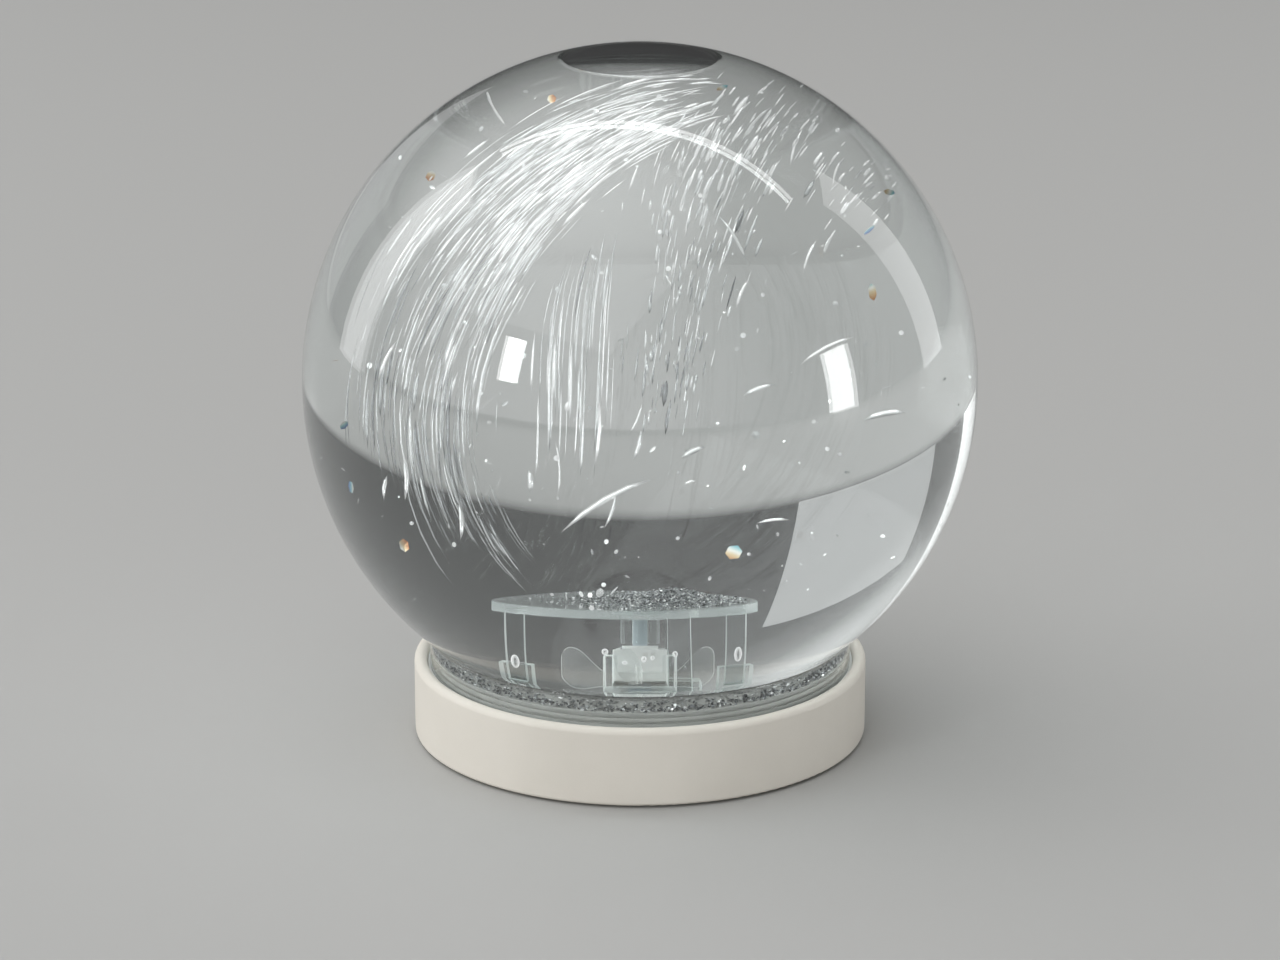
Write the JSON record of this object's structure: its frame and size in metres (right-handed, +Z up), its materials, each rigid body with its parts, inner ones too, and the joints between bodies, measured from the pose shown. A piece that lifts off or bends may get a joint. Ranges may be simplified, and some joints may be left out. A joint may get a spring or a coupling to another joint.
{
  "type": "snow globe",
  "caption": "Clear globe of liquid with swirling glitter, a raised disc on posts above a magnet-driven impeller, and a low round matt base.",
  "frame": {"origin": "centre of the resting face, at the bottom of the foot pads", "axes": "+Z up along the globe's vertical axis, -Y towards the front, +X to the right seen from the front"},
  "size_m": [0.15, 0.15, 0.157],
  "materials": {
    "globe_glass": "polished",
    "liquid": "polished",
    "clear_acrylic": "gloss",
    "stopper_grey": "satin",
    "pale_cap": "satin",
    "pale_blue": "satin",
    "white_block": "satin",
    "magnet_nickel": "satin",
    "base_white": "matte",
    "plate_white": "matte",
    "silicone": "satin",
    "pad_rubber": "matte",
    "screw_steel": "satin",
    "motor_steel": "satin",
    "motor_cap": "satin",
    "motor_winding": "satin",
    "carrier_plastic": "satin",
    "retainer_plastic": "matte",
    "cell_sleeve": "gloss",
    "contact_nickel": "gloss",
    "switch_black": "satin",
    "board_green": "satin",
    "pillar_white": "matte",
    "lead_red": "satin",
    "lead_black": "satin"
  },
  "bodies": {
    "globe": {"glass_globe": "globe_glass", "liquid_fill": "liquid", "platform_disc": "clear_acrylic", "platform_posts": "clear_acrylic", "post_sockets": "clear_acrylic", "bearing_sleeve": "clear_acrylic", "neck_stopper": "stopper_grey", "hub_seat": "pale_cap", "base_ring": "base_white", "base_plate": "plate_white", "neck_gasket": "silicone", "foot_pads": "pad_rubber", "base_screws": "screw_steel", "retainer_screws": "screw_steel", "motor_can": "motor_steel", "motor_end_cap": "motor_cap", "motor_retainer": "retainer_plastic", "battery_cell_1": "cell_sleeve", "battery_cell_2": "cell_sleeve", "battery_contacts": "contact_nickel", "battery_springs": "contact_nickel", "switch_body": "switch_black", "board_components": "switch_black", "circuit_board": "board_green", "board_pillars": "pillar_white", "battery_leads": "lead_red", "switch_lead": "lead_red", "motor_leads": "lead_black"},
    "motor_rotor": {"motor_shaft": "motor_steel", "motor_armature": "motor_winding", "magnet_carrier": "carrier_plastic", "drive_magnets": "magnet_nickel"},
    "impeller": {"impeller_spindle": "pale_blue", "magnet_case": "white_block", "impeller_magnets": "magnet_nickel", "impeller_rotor": "clear_acrylic"},
    "door": {"battery_door": "plate_white"},
    "knob": {"switch_knob": "switch_black"}
  },
  "joints": [
    {"name": "motor_spin", "type": "hinge", "parent": "globe", "child": "motor_rotor", "pos_m": [0, 0, 0.01], "axis": [0, 0, 1], "continuous": true},
    {"name": "impeller_spin", "type": "hinge", "parent": "globe", "child": "impeller", "pos_m": [0, 0, 0.032], "axis": [0, 0, 1], "continuous": true},
    {"name": "door_hinge", "type": "hinge", "parent": "globe", "child": "door", "pos_m": [0, 0.0359, 0.0009], "axis": [1, 0, 0], "range_deg": [0, 40]},
    {"name": "switch_slide", "type": "slide", "parent": "globe", "child": "knob", "axis": [1, 0, 0], "range_m": [-0.002, 0]}
  ],
  "couplings": [
    {"joint": "impeller_spin", "follows": "motor_spin", "ratio": 1}
  ]
}
